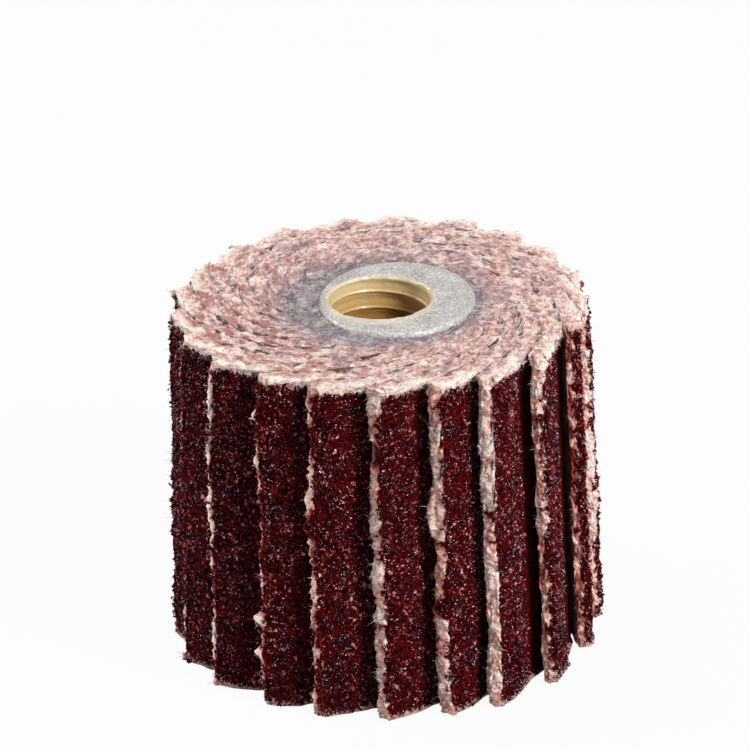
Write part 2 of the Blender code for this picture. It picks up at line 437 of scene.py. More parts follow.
def make_cloth(flap, pattern, material):
    """A flap's cloth, noting for its material where each point lies and how stained it is."""
    flat = pattern.spread(flap)
    frayed = fray(flat, flap)
    stain = stain_of(flat, flap)
    mesh = new_mesh(f"cloth_{flap + 1:02d}", place(flap, *frayed.T), pattern.faces)
    note(mesh, "sheet", flat)
    note(mesh, "yarn", frayed + np.array([FLAP_SHIFT * flap, 0, 0]))
    note(mesh, "soak", np.stack([stain, coat_reach(flap, stain), stain], -1))
    return new_piece(mesh, material, "abrasive_cloth", f"flap_{flap + 1:02d}")


def crushed_grain(rng, corners):
    """A sharp-cornered grain: the hull of a few points on a ball."""
    while True:
        points = rng.normal(size=(corners, 3))
        points /= np.linalg.norm(points, axis=1)[:, None]
        points *= rng.uniform(0.85, 1.15, (corners, 1))
        body = bmesh.new()
        for point in points:
            body.verts.new(point)
        bmesh.ops.convex_hull(body, input=body.verts)
        bmesh.ops.recalc_face_normals(body, faces=body.faces)
        bmesh.ops.triangulate(body, faces=body.faces)
        body.verts.index_update()
        faces = np.array([[v.index for v in f.verts] for f in body.faces])
        points = np.array([v.co[:] for v in body.verts])
        body.free()
        if len(points) == corners and len(faces) == 2 * corners - 4:
            return points, faces


def random_turns(rng, count):
    """Rotation matrices, evenly spread over all directions."""
    w, x, y, z = rng.normal(size=(4, count))
    size = np.sqrt(w * w + x * x + y * y + z * z)
    w, x, y, z = w / size, x / size, y / size, z / size
    rows = [
        [1 - 2 * (y * y + z * z), 2 * (x * y - z * w), 2 * (x * z + y * w)],
        [2 * (x * y + z * w), 1 - 2 * (x * x + z * z), 2 * (y * z - x * w)],
        [2 * (x * z - y * w), 2 * (y * z + x * w), 1 - 2 * (x * x + y * y)],
    ]
    return np.stack([np.stack(row, -1) for row in rows], -2)


def scatter(rng, shapes, centres, radii):
    """Copies of the shapes, each turned, stretched and set at its own centre, as one mesh."""
    pick = rng.integers(0, len(shapes), len(centres))
    corners = np.stack([points for points, _ in shapes])[pick]
    faces = np.stack([faces for _, faces in shapes])[pick]
    corners = corners * (radii[:, None] * rng.uniform(0.75, 1.25, (len(centres), 3)))[:, None]
    corners = np.einsum("gij,gkj->gki", random_turns(rng, len(centres)), corners)
    corners = corners * MM + centres[:, None]
    faces = faces + (np.arange(len(centres)) * corners.shape[1])[:, None, None]
    return corners.reshape(-1, 3), faces.reshape(-1, 3)


def make_grit(flap, coarse, small, material):
    """Grains on the coat, and over the free edge as far as the coat goes."""
    rng = np.random.default_rng(GRIT_SEED + flap)
    # Every other row is shifted by half a grain, so the rows can lie closer together
    rows = np.arange(0.2, WIDTH - 0.3, GRAIN_SPACING * 0.88)
    columns = np.arange(-0.45, SHOWN_BACK, GRAIN_SPACING)
    height, run = np.meshgrid(rows, columns, indexing="ij")
    run = run + GRAIN_SPACING / 2 * (np.arange(len(rows)) % 2)[:, None]
    height, run = height.ravel(), run.ravel()
    height = height + rng.uniform(-GRAIN_JITTER, GRAIN_JITTER, height.size)
    run = run + rng.uniform(-GRAIN_JITTER, GRAIN_JITTER, run.size)
    # Beyond the coat's edge the grains turn down the chamfer and on to the cut end
    back = np.maximum(run, 0.0)
    depth = COAT_DEPTH + np.maximum(CHAMFER_BACK - run, 0.0)
    spots = np.stack([run + FLAP_SHIFT * flap, np.zeros_like(run), height], -1)
    ragged = 0.25 * noise(spots, (0.45, 1, 9), 31) + 0.16 * noise(spots, (0.2, 1, 9), 32)
    hem = 0.22 + 0.28 * noise(spots, (2.4, 1, 9), 33)
    keep = (height < WIDTH - 0.48 + ragged) & (height > hem + ragged)
    stain = stain_of(np.stack([back, depth, height], -1), flap)
    edge = -coat_reach(flap, stain) + 0.2 * noise(spots, (0.35, 1, 0.4), 37)
    keep &= run > edge + rng.uniform(-0.12, 0.12, run.size)
    height, back, depth, spots = height[keep], back[keep], depth[keep], spots[keep]
    depth = depth + 0.08 * noise(spots, (1.4, 1, 1.2), 35) + 0.06 * noise(spots, (0.5, 1, 0.5), 36)
    depth += rng.uniform(-0.05, 0.05, height.size)
    frayed = fray(np.stack([back, depth, height], -1), flap)
    centres = place(flap, *frayed.T)
    large = rng.random(height.size) < 0.15
    points, faces = [], []
    total = 0
    for shapes, these, size in ((coarse, large, 1.35), (small, ~large, 0.95)):
        radii = GRAIN_RADIUS * size * rng.uniform(0.75, 1.2, these.sum())
        corners, triangles = scatter(rng, shapes, centres[these], radii)
        points.append(corners)
        faces.append(triangles + total)
        total += len(corners)
    points, faces = np.concatenate(points), np.concatenate(faces)
    # The lowest grains are ground flat by what the wheel stands on
    points[:, 2] = np.maximum(points[:, 2], 0.0)
    mesh = new_mesh(f"grit_{flap + 1:02d}", points, faces, smooth=False)
    return new_piece(mesh, material, "abrasive_cloth")


def strands(rng, roots, ways, lengths, radii, steps=3):
    """Tapered three-sided hairs that curl as they go, as one mesh that stays above the foot."""
    count = len(roots)
    ways = ways / np.linalg.norm(ways, axis=1)[:, None]
    bend = rng.normal(size=(count, 3))
    bend -= (bend * ways).sum(1)[:, None] * ways
    bend[:, 2] -= 0.3
    t = np.linspace(0, 1, steps)[None, :, None]
    reach = (lengths * MM)[:, None, None]
    curl = rng.uniform(0.2, 0.8, count)[:, None, None]
    line = roots[:, None] + reach * (t * ways[:, None] + curl * t * t * bend[:, None])
    line[..., 2] = np.maximum(line[..., 2], 0.05 * MM)
    across = np.cross(ways, rng.normal(size=(count, 3)))
    across /= np.linalg.norm(across, axis=1)[:, None]
    other = np.cross(ways, across)
    angles = (np.arange(3) * math.tau / 3)[None, :, None]
    ring = np.cos(angles) * across[:, None] + np.sin(angles) * other[:, None]
    taper = (1 - 0.7 * t)[..., None] * (radii * MM)[:, None, None, None]
    points = line[:, :, None] + ring[:, None] * taper
    index = np.arange(steps * 3).reshape(steps, 3)
    index = np.concatenate([index, index[:, :1]], 1)
    faces = np.concatenate([cells(index.T), [index[0, :3][::-1]], [index[-1, :3]]])
    faces = faces + (np.arange(count) * steps * 3)[:, None, None]
    return points.reshape(-1, 3), faces.reshape(-1, 3)


def make_fray(flap, material):
    """Loose cotton fibres: at the free edge, the rim and the foot, and a few in the grit."""
    rng = np.random.default_rng(FIBRE_SEED + flap)
    back, depth, height = [], [], []
    # How many fibres, and between what limits of back, depth and height they grow
    for count, backs, depths, heights in (
        (330, (0.0, 0.3), (0.15, 1.3), (0.2, 24.8)),
        (70, (0.1, 4.8), (0.1, 0.3), (24.3, 24.95)),
        (110, (0.0, 4.8), (0.1, 0.4), (0.1, 0.6)),
        (40, (0.5, 4.4), (0.0, 0.05), (0.8, 24.0)),
    ):
        back.append(rng.uniform(*backs, count))
        depth.append(rng.uniform(*depths, count))
        height.append(rng.uniform(*heights, count))
    sheet = np.stack([np.concatenate(x) for x in (back, depth, height)], -1)
    # Soaked yarn has no loose ends, so most of its fibres go
    keep = (stain_of(sheet, flap) < rng.uniform(0.35, 0.9, len(sheet))) | (sheet[:, 0] > 0.4)
    sheet = sheet[keep]
    # Near the free edge, and within 0.9 mm of the rim or 0.7 mm of the foot
    at_edge, at_ends = sheet[:, 0] < 0.4, np.abs(sheet[:, 2] - 12.4) > 11.7
    back, depth, height = fray(sheet, flap).T
    roots = place(flap, back, depth, height)
    # Unit vectors along the sheet and out of it, from steps of 0.1 mm
    ahead = (place(flap, back - 0.1, depth, height) - roots) * 1e4
    out = (place(flap, back, depth - 0.1, height) - roots) * 1e4
    spin = rng.normal(size=roots.shape)
    apart = np.where(sheet[:, 1] < 0.75, 0.7, -0.7)[:, None]
    ways = np.where(at_edge[:, None], 0.7 * ahead + apart * out + 0.8 * spin, 0.25 * out + spin)
    down = np.array([0.0, 0.0, -0.5])
    ways = np.where((at_ends & ~at_edge)[:, None], 0.7 * out + down + 0.6 * spin, ways)
    long = at_edge & (rng.random(len(sheet)) < 0.05)
    lengths = rng.uniform(0.15, 0.45, len(sheet)) * np.where(long, 1.4, 1.0)
    lengths *= np.where(at_edge, 1.0, 0.6)
    radii = rng.uniform(0.012, 0.03, len(sheet))
    points, faces = strands(rng, roots, ways, lengths, radii)
    mesh = new_mesh(f"fray_{flap + 1:02d}", points, faces)
    return new_piece(mesh, material, "abrasive_cloth")


def loops_to_mesh(name, rings):
    """A closed skin from rings of points, each joined to the next and the last to the first."""
    rings = np.asarray(rings)
    count, around = rings.shape[:2]
    index = np.arange(count * around).reshape(count, around)
    index = np.concatenate([index, index[:1]], 0)
    index = np.concatenate([index, index[:, :1]], 1)
    points, faces = rings.reshape(-1, 3), cells(index)
    a, b, c = (points[faces[:, i]] for i in range(3))
    if (a * np.cross(b, c)).sum() < 0:
        faces = faces[:, ::-1]
    return new_mesh(name, points * MM, faces)


def oval(angles, half_x, half_y, centre_x):
    """Where a ray from the axis meets the oval, as a distance for each angle."""
    c, s = np.cos(angles), np.sin(angles)
    a = (c / half_x) ** 2 + (s / half_y) ** 2
    b = -2 * c * centre_x / half_x**2
    k = (centre_x / half_x) ** 2 - 1
    return (-b + np.sqrt(b * b - 4 * a * k)) / (2 * a)


def thread_radius(height, angles):
    """The bore's wall: a narrow crest once in each pitch, and a broad shallow root between."""
    phase = ((height - THREAD_START) / THREAD_PITCH - angles / math.tau) % 1.0
    away = np.abs(phase - 0.5) * 2
    return BORE + THREAD_DEPTH * (0.6 * ease(away, 0.02, 0.22) + 0.4 * ease(away, 0.2, 1.0))


def make_hub(material):
    """The cast plug with its tapped bore, chipped at the mouth and rounded at the shoulder."""
    around = 150
    angles = np.arange(around) * math.tau / around
    c, s = np.cos(angles), np.sin(angles)

    def ring(radius, height):
        radius, height = np.broadcast_to(radius, (around,)), np.broadcast_to(height, (around,))
        return np.stack([radius * c, radius * s, height], -1)

    outer = oval(angles, HUB_HALF_X, HUB_HALF_Y, HUB_CENTRE_X)
    plain = BORE + 0.1
    rim = ring(BORE_MOUTH, HUB_TOP)
    chips = 0.09 * noise(rim, (0.6, 0.6, 1), 71) + 0.08 * noise(rim, (0.25, 0.25, 1), 72)
    rings = []
    # Fine rings where the thread shows from above, coarser ones below
    low, fine, high = 0.7, 19.5, HUB_TOP - 0.22
    heights = [np.arange(low, fine, THREAD_PITCH / 8), np.arange(fine, high, THREAD_PITCH / 20)]
    for height in np.concatenate(heights):
        fade = ease(height, low, 1.3)
        wall = thread_radius(height, angles) * fade + plain * (1 - fade)
        wall = np.maximum(wall, BORE_MOUTH - 0.06 - 0.25 * (HUB_TOP - height))
        spot = ring(wall, height)
        rough = 0.02 * noise(spot, (0.5, 0.5, 0.5), 76) + 0.015 * noise(spot, (0.2, 0.2, 0.2), 77)
        rings.append(ring(wall + rough, height))
    # Then the chipped mouth, the dented top, the rounded shoulder, the side and the underside
    for share in np.linspace(0, 1, 4):
        radius = BORE_MOUTH - 0.1 * (1 - share) ** 2 + chips * (0.4 + 0.6 * share)
        rings.append(ring(radius, HUB_TOP - 0.2 + 0.16 * share - 0.4 * np.abs(chips) * share))
    for share in np.linspace(0.03, 1, 22):
        radius = (BORE_MOUTH + chips + 0.04) * (1 - share) + (outer - 0.3) * share
        spot = ring(radius, HUB_TOP)
        dents = 0.03 * noise(spot, (0.9, 0.9, 1), 73) + 0.02 * noise(spot, (0.3, 0.3, 1), 74)
        rings.append(ring(radius, HUB_TOP - 0.03 + dents - 0.06 * share**4))
    for lean in np.linspace(0.15, 1, 7):
        turn = lean * math.pi / 2
        wobble = 0.05 * noise(ring(outer, 0), (0.7, 0.7, 1), 75)
        radius = outer - 0.3 + 0.36 * math.sin(turn) + wobble * lean
        rings.append(ring(radius, HUB_TOP - 0.06 - 0.42 * (1 - math.cos(turn))))
    for height in (24.0, 20.0, 12.0, 4.0, 0.5):
        rings.append(ring(outer, height))
    rings.append(ring(outer - 0.12, 0.1))
    for share in np.linspace(0.05, 1, 6):
        rings.append(ring((outer - 0.25) * (1 - share) + BORE_MOUTH * share, 0.0))
    rings.append(ring(plain, 0.4))
    mesh = loops_to_mesh("hub_casting", rings)
    return new_piece(mesh, material, "hub_resin", "hub")


def make_potting(material):
    """The adhesive round the hub: a rough surface that climbs a little where it wets the hub."""
    around = 144
    angles = np.arange(around) * math.tau / around
    c, s = np.cos(angles), np.sin(angles)
    inner = oval(angles, HUB_HALF_X - 0.1, HUB_HALF_Y - 0.1, HUB_CENTRE_X)
    outer = np.full(around, HOLE + 0.25)

    def ring(share, height):
        radius = inner * (1 - share) + outer * share
        spot = np.stack([radius * c, radius * s, np.full(around, height)], -1)
        if height > WIDTH / 2:
            rough = 0.07 * noise(spot, (0.8, 0.8, 1), 81) + 0.055 * noise(spot, (0.3, 0.3, 1), 82)
            climb = 0.12 * math.exp(-share * 6)
            spot[:, 2] += rough + climb
        return spot

    rings = [ring(share, WIDTH - 0.15) for share in np.linspace(0, 1, 18)]
    rings += [ring(1.0, height) for height in (20.0, 12.0, 4.0)]
    rings += [ring(share, 0.17) for share in np.linspace(1, 0, 5)]
    rings += [ring(0.0, height) for height in (4.0, 12.0, 20.0)]
    mesh = loops_to_mesh("potting", rings)
    return new_piece(mesh, material, "potting_resin", "potting_resin")


def srgb(code):
    """A hex colour as linear red, green, blue and alpha."""
    parts = [int(code[i : i + 2], 16) / 255 for i in (1, 3, 5)]
    return (*(p / 12.92 if p <= 0.04045 else ((p + 0.055) / 1.055) ** 2.4 for p in parts), 1.0)


def link(tree, source, socket):
    """Join an output, or the first output of a node, to a socket."""
    tree.links.new(source.outputs[0] if isinstance(source, bpy.types.Node) else source, socket)


def add(tree, kind, inputs=None, stops=None, **settings):
    """A shader node with its settings, input values or links, and stops of its colour ramp."""
    node = tree.nodes.new("ShaderNode" + kind)
    for name, value in settings.items():
        setattr(node, name, value)
    for socket, value in (inputs or {}).items():
        if isinstance(value, (bpy.types.Node, bpy.types.NodeSocket)):
            link(tree, value, node.inputs[socket])
        else:
            node.inputs[socket].default_value = value
    for i, (position, colour) in enumerate(stops or ()):
        stop = node.color_ramp.elements[i] if i < 2 else node.color_ramp.elements.new(1.0)
        stop.position = position
        stop.color = srgb(colour)
    return node


def new_material(name, constants):
    """A material, its tree and its shader, with these constants on the shader's own sockets."""
    material = bpy.data.materials.new(name)
    material.use_nodes = True
    shader = material.node_tree.nodes["Principled BSDF"]
    for socket, value in constants.items():
        shader.inputs[socket].default_value = value
    return material, material.node_tree, shader


def cut_coated_cloth():
    """Cotton cloth coated with abrasive, sawn across: fluffy, pale pink from red grit dust.

    The eye sees crumbs and streaks of yarn along each sheet, blotched by dust and resin, red
    resin run into the free edge, and a dull purple tint where adhesive soaked into the roots.
    """
    constants = {
        "Roughness": 0.9,
        "Specular IOR Level": 0.02,
        "Subsurface Weight": 0.7,
        "Subsurface Radius": (1.0, 0.65, 0.55),
        "Subsurface Scale": 0.5 * MM,
    }
    material, tree, shader = new_material("cut coated cloth", constants)
    sheet, yarn, soak = (
        add(tree, "Attribute", attribute_name=name).outputs["Vector"]
        for name in ("sheet", "yarn", "soak")
    )
    back, depth, height = add(tree, "SeparateXYZ", {0: sheet}).outputs
    stain, reach, _ = add(tree, "SeparateXYZ", {0: soak}).outputs
    whole = add(tree, "TexCoord").outputs["Object"]
    x, y, _ = add(tree, "SeparateXYZ", {0: whole}).outputs

    # Patterns by their size in mm along the sheet, through it and up it. Fibres and holes are
    # drawn 0.11 to 0.2 mm across, coarser than they are, so that they show.
    pattern = {}
    for name, size, detail in (
        ("fluff", (0.6, 0.4, 0.5), 4.0),
        ("brick", (1.7, 1.1, 1.0), 3.0),
        ("dusk", (1.2, 0.9, 0.8), 4.0),
        ("rust", (1.1, 0.8, 0.9), 3.0),
        ("cream", (1.3, 1.0, 0.8), 4.0),
        ("hole", (0.2, 0.14, 0.15), 2.0),
        ("lip", (0.5, 0.4, 0.4), 3.0),
        ("blush", (0.4, 0.3, 0.4), 4.0),
        ("fibre", (0.3, 0.11, 0.11), 3.0),
        ("fringe", (0.4, 1.0, 2.5), 4.0),
    ):
        # Each is read in another place, so that no two line up
        shift = (9.0 * len(pattern),) * 3
        scale = tuple(1 / length for length in size)
        spot = add(tree, "Mapping", {"Vector": yarn, "Scale": scale, "Location": shift})
        inputs = {"Vector": spot, "Scale": 1.0, "Detail": detail, "Roughness": 0.6}
        pattern[name] = add(tree, "TexNoise", inputs)

    # Distance from the axis, blurred by a millimetre or two
    flat = add(tree, "VectorMath", {0: whole, 1: (1.0, 1.0, 0.0)}, operation="MULTIPLY")
    from_axis = add(tree, "VectorMath", {0: flat}, operation="LENGTH")
    blur = add(tree, "TexNoise", {"Vector": whole, "Scale": 1 / (1.1 * MM), "Detail": 4.0})
    inputs = {0: blur, 1: 2.6 * MM, 2: from_axis.outputs["Value"]}
    wander = add(tree, "Math", inputs, operation="MULTIPLY_ADD")
    # Height with the coat's ragged ends in it
    ragged = add(tree, "Math", {0: pattern["fringe"], 1: -1.9, 2: height}, operation="MULTIPLY_ADD")
    # Distance along the coat from where it ends at the free edge
    over = add(tree, "Math", {0: depth, 1: CHAMFER_DEPTH}, operation="SUBTRACT", use_clamp=True)
    run = add(tree, "Math", {0: back, 1: reach})
    run = add(tree, "Math", {0: run, 1: over}, operation="SUBTRACT")
    run = add(tree, "Math", {0: pattern["lip"], 1: 0.8, 2: run}, operation="MULTIPLY_ADD")

    # Where each finish lies. Each row is a value, its limits, and the share at each limit.
    finishes = {
        "brick": (
            (pattern["brick"], 0.47, 0.57, 0.0, 0.75),
            (x, -9 * MM, 3 * MM, 1.0, 0.4),
            (y, 2 * MM, 11 * MM, 1.0, 0.4),
        ),
        "dusk": ((pattern["dusk"], 0.53, 0.61, 0.0, 0.7),),
        "rust": ((pattern["rust"], 0.64, 0.70, 0.0, 0.7),),
        "cream": ((pattern["cream"], 0.52, 0.60, 0.0, 0.5),),
        # Dark specks: grit dust, and painted shade in the holes between the yarns
        "hole": ((pattern["hole"], 0.63, 0.71, 0.0, 0.75),),
        "root": ((wander, 8.0 * MM, 10.8 * MM, 0.8, 0.0), (pattern["cream"], 0.5, 0.62, 1.0, 0.5)),
        "lip": (
            (depth, 0.3, 0.9, 1.0, 0.0),
            (back, 4.0, 5.0, 1.0, 0.0),
            (pattern["lip"], 0.35, 0.55, 0.3, 0.9),
        ),
        "edge": ((back, 0.5, 1.1, 1.0, 0.0), (height, 24.2, 24.8, 1.0, 0.15)),
        # The foot is darker pink, partly from stain and partly as painted contact shade
        "hem": ((height, 0.4, 1.1, 0.75, 0.0),),
        "coat": (
            (ragged, 23.48, 23.6, 1.0, 0.0),
            (ragged, -0.78, -0.62, 0.0, 1.0),
            (height, 24.5, 24.65, 1.0, 0.0),
            (depth, 1.1, 1.25, 1.0, 0.0),
            (run, 0.34, 0.46, 0.0, 1.0),
        ),
    }
    share = dict.fromkeys(finishes, 1.0)
    for name, limits in finishes.items():
        for value, low, high, start, end in limits:
            part = add(tree, "MapRange", {0: value, 1: low, 2: high, 3: start, 4: end})
            share[name] = add(tree, "Math", {0: share[name], 1: part}, operation="MULTIPLY")

    # Fluff and yarn ends of about half a millimetre
    stops = ((0.28, "#96706a"), (0.4, "#b68f88"), (0.5, "#cfafa7"), (0.6, "#e4ccc3"), (0.72, "#f6e8df"))
    colour = add(tree, "ValToRGB", {0: pattern["fluff"]}, stops)
    # The free edge: cream yarn, stained pink, brown and wine red where resin ran in
    stops = (
        (0.0, "#ffece3"), (0.2, "#ffded4"), (0.42, "#fbcabe"),
        (0.58, "#e09b90"), (0.72, "#a84741"), (1.0, "#6e1b20"),
    )
    edge = add(tree, "ValToRGB", {0: stain}, stops)
    blush = add(tree, "MapRange", {0: pattern["blush"], 1: 0.51, 2: 0.64, 3: 0.0, 4: 0.75})
    edge = add(tree, "Mix", {0: blush, 6: edge, 7: srgb("#bb6a61")}, data_type="RGBA").outputs[2]
    # Brick red dust, dusky adhesive, rust-coloured resin, clean cotton, soaked roots, the pale
    # lip over the grit, the free edge, dark specks over all of them: grit dust, and painted shade in
    # the holes; and the foot, darker pink from stain and from painted contact shade
    for name, layer in (
        ("brick", srgb("#a06660")),
        ("dusk", srgb("#8a7681")),
        ("rust", srgb("#c98c5c")),
        ("cream", srgb("#f8ebe1")),
        ("root", srgb("#83767b")),
        ("lip", srgb("#fae9dd")),
        ("edge", edge),
        ("hole", srgb("#513238")),
        ("hem", srgb("#c98f85")),
    ):
        colour = add(tree, "Mix", {0: share[name], 6: colour, 7: layer}, data_type="RGBA").outputs[2]
    shade = add(tree, "ValToRGB", {0: pattern["fibre"]}, ((0.34, "#b08a83"), (0.52, "#ffffff")))
    inputs = {0: 0.8, 6: colour, 7: shade}
    colour = add(tree, "Mix", inputs, data_type="RGBA", blend_type="MULTIPLY").outputs[2]

    # Resin and fine grit fill the space between the grains, drawn at 0.2 mm
    fines = add(tree, "TexNoise", {"Vector": whole, "Scale": 1 / (0.2 * MM), "Detail": 3.0})
    stops = ((0.34, "#0c0000"), (0.48, "#300203"), (0.58, "#620a0b"), (0.7, "#3c0e18"))
    fines = add(tree, "ValToRGB", {0: fines}, stops)
    colour = add(tree, "Mix", {0: share["coat"], 6: colour, 7: fines}, data_type="RGBA").outputs[2]
    link(tree, colour, shader.inputs["Base Color"])
    bump = add(tree, "Bump", {"Height": pattern["fibre"], "Strength": 0.35, "Distance": 0.08 * MM})
    link(tree, bump, shader.inputs["Normal"])
    return material


def crushed_oxide():
    """Brown fused aluminium oxide in phenolic resin: glassy dark red grains, broken sharp.

    The eye sees a near-black red surface of facets, clotted red or purplish, with a white
    glint here and there: some where a facet meets the lamp, most painted as white specks.
    """
    constants = {"IOR": 1.6, "Specular IOR Level": 0.075}
    material, tree, shader = new_material("crushed aluminium oxide", constants)
    chance = add(tree, "NewGeometry").outputs["Random Per Island"]
    whole = add(tree, "TexCoord").outputs["Object"]
    # Grains of like colour lie in clots about half a millimetre across
    clots = add(tree, "TexNoise", {"Vector": whole, "Scale": 1 / (0.45 * MM), "Detail": 2.0})
    clot = add(tree, "MapRange", {0: clots, 1: 0.36, 2: 0.64, 3: 0.0, 4: 0.5})
    level = add(tree, "Math", {0: chance, 1: 0.5, 2: clot}, operation="MULTIPLY_ADD")
    # The palest stops, pinkish grey, are partly grain colour and partly painted highlight on the facets
    stops = (
        (0.15, "#1c0002"), (0.32, "#4b0508"), (0.46, "#741216"), (0.56, "#4c1226"),
        (0.68, "#923033"), (0.82, "#b4625f"), (0.94, "#dfbab8"),
    )
    colour = add(tree, "ValToRGB", {0: level}, stops)
    # Redder and more purple patches, a millimetre or so across
    patch = add(tree, "TexNoise", {"Vector": whole, "Scale": 1 / (1.3 * MM), "Detail": 4.0})
    # More of the purple lies near the foot
    height = add(tree, "SeparateXYZ", {0: whole}).outputs["Z"]
    low = add(tree, "MapRange", {0: height, 1: 0.0, 2: 7 * MM, 3: -0.07, 4: 0.0})
    patch = add(tree, "Math", {0: patch, 1: low})
    tint = add(tree, "ValToRGB", {0: patch}, ((0.42, "#8389b4"), (0.5, "#bba8ba"), (0.58, "#ffffff")))
    inputs = {0: 0.9, 6: colour, 7: tint}
    colour = add(tree, "Mix", inputs, data_type="RGBA", blend_type="MULTIPLY").outputs[2]
    # Painted glints: white specks standing for facets that catch the lamp, drawn at 0.1 mm so that they
    # show
    chips = add(tree, "TexNoise", {"Vector": whole, "Scale": 1 / (0.1 * MM), "Detail": 1.0})
    painted_glint = add(tree, "MapRange", {0: chips, 1: 0.685, 2: 0.7})
    colour = add(tree, "Mix", {0: painted_glint, 6: colour, 7: srgb("#fff4f2")}, data_type="RGBA").outputs[2]
    link(tree, colour, shader.inputs["Base Color"])
    # Some grains are glossier, whatever their colour
    gloss = add(tree, "Math", {0: chance, 1: 37.0}, operation="MULTIPLY")
    gloss = add(tree, "Math", {0: gloss}, operation="FRACT")
    rough = add(tree, "MapRange", {0: gloss, 3: 0.12, 4: 0.5})
    link(tree, rough, shader.inputs["Roughness"])
    bump = add(tree, "Bump", {"Height": chips, "Strength": 0.8, "Distance": 0.05 * MM})
    link(tree, bump, shader.inputs["Normal"])
    return material


def cotton_fibre():
    """Single cotton fibres, nearly white, some stained pink; the eye sees fine bright hairs."""
    constants = {"Roughness": 0.6, "Sheen Weight": 0.3}
    material, tree, shader = new_material("cotton fibre", constants)
    chance = add(tree, "NewGeometry").outputs["Random Per Island"]
    colour = add(tree, "ValToRGB", {0: chance}, ((0.0, "#c89a90"), (0.35, "#e6c9bf"), (1.0, "#fbf4ee")))
    link(tree, colour, shader.inputs["Base Color"])
    return material


def cast_resin():
    """Filled polyester resin, cast and cured: satin, grey white with pale filler specks.

    The tapped bore shows the resin's own honey colour, darkened further down by painted shade, and the
    mouth is chipped to cream.
    """
    constants = {"Roughness": 0.4, "IOR": 1.52, "Coat Weight": 0.2, "Coat Roughness": 0.15}
    material, tree, shader = new_material("cast polyester resin", constants)
    whole = add(tree, "TexCoord").outputs["Object"]
    x, y, z = add(tree, "SeparateXYZ", {0: whole}).outputs
    flat = add(tree, "VectorMath", {0: whole, 1: (1.0, 1.0, 0.0)}, operation="MULTIPLY")
    from_axis = add(tree, "VectorMath", {0: flat}, operation="LENGTH")

    # Filler specks about 0.15 mm across, and clouds of 2 mm
    inputs = {"Vector": whole, "Scale": 1 / (0.15 * MM), "Detail": 2.0, "Roughness": 0.6}
    specks = add(tree, "TexNoise", inputs)
    skin = add(tree, "ValToRGB", {0: specks}, ((0.3, "#96918d"), (0.5, "#bfbab6"), (0.68, "#e8e3de")))
    clouds = add(tree, "TexNoise", {"Vector": whole, "Scale": 1 / (2 * MM), "Detail": 3.0})
    cloud = add(tree, "ValToRGB", {0: clouds}, ((0.35, "#e0e1e4"), (0.65, "#ffffff")))
    inputs = {0: 0.8, 6: skin, 7: cloud}
    colour = add(tree, "Mix", inputs, data_type="RGBA", blend_type="MULTIPLY").outputs[2]

    # The bore: cream at the mouth, honey on the wall, and brown from 5.3 mm down; the darkening with
    # depth is painted shade
    down = add(tree, "MapRange", {0: z, 1: HUB_TOP * MM, 2: 20.0 * MM})
    stops = (
        (0.0, "#e2d6bc"), (0.05, "#d4c096"), (0.2, "#d6b984"),
        (0.34, "#c5a56a"), (0.5, "#aa7d45"), (1.0, "#5d3c19"),
    )
    wall = add(tree, "ValToRGB", {0: down}, stops)
    # Each crest of the thread gets a painted highlight: a pale line 0.1 mm wide, once in each pitch
    turns = add(tree, "Math", {0: y, 1: x}, operation="ARCTAN2")
    inputs = {0: turns, 1: -1 / math.tau, 2: -THREAD_START / THREAD_PITCH}
    turns = add(tree, "Math", inputs, operation="MULTIPLY_ADD")
    phase = add(tree, "Math", {0: z, 1: 1 / (THREAD_PITCH * MM), 2: turns}, operation="MULTIPLY_ADD")
    phase = add(tree, "Math", {0: phase, 1: 1.0}, operation="FLOORED_MODULO")
    away = add(tree, "Math", {0: phase, 1: 0.5}, operation="SUBTRACT")
    away = add(tree, "Math", {0: away}, operation="ABSOLUTE")
    crest = add(tree, "MapRange", {0: away, 1: 0.01, 2: 0.06, 3: 0.3, 4: 0.0})
    wall = add(tree, "Mix", {0: crest, 6: wall, 7: srgb("#ecd9b4")}, data_type="RGBA").outputs[2]
    # The filler shows in the wall too
    inputs = {0: 0.15, 6: wall, 7: skin}
    wall = add(tree, "Mix", inputs, data_type="RGBA", blend_type="MULTIPLY").outputs[2]

    # Round the mouths the grey skin is thin and the resin's own cream shows through. The wall is
    # told from the faces by its distance from the axis, less its depth from the nearer mouth.
    chips = add(tree, "TexNoise", {"Vector": whole, "Scale": 1 / (0.55 * MM), "Detail": 3.0})
    inputs = {0: chips, 1: 0.4 * MM, 2: from_axis.outputs["Value"]}
    wander = add(tree, "Math", inputs, operation="MULTIPLY_ADD")
    sunk = add(tree, "Math", {0: z, 1: HUB_TOP * MM}, operation="SUBTRACT")
    risen = add(tree, "Math", {0: z, 1: -1.0}, operation="MULTIPLY")
    sunk = add(tree, "Math", {0: sunk, 1: risen}, operation="MAXIMUM")
    from_mouth = add(tree, "Math", {0: sunk, 1: 0.8, 2: wander}, operation="MULTIPLY_ADD")
    # Painted glow: the cream spreads further at the front, where light shines through the translucent
    # lip
    front_glow_reach = add(tree, "Math", {0: y, 1: 0.2, 2: wander}, operation="MULTIPLY_ADD")
    for value, low, high, most, layer in (
        (front_glow_reach, 3.6 * MM, 4.3 * MM, 0.5, srgb("#e4d9c0")),
        (from_mouth, 3.84 * MM, 3.98 * MM, 1.0, wall),
    ):
        part = add(tree, "MapRange", {0: value, 1: low, 2: high, 3: most, 4: 0.0})
        colour = add(tree, "Mix", {0: part, 6: colour, 7: layer}, data_type="RGBA").outputs[2]
    link(tree, colour, shader.inputs["Base Color"])
    bump = add(tree, "Bump", {"Height": specks, "Strength": 0.4, "Distance": 0.05 * MM})
    link(tree, bump, shader.inputs["Normal"])
    return material


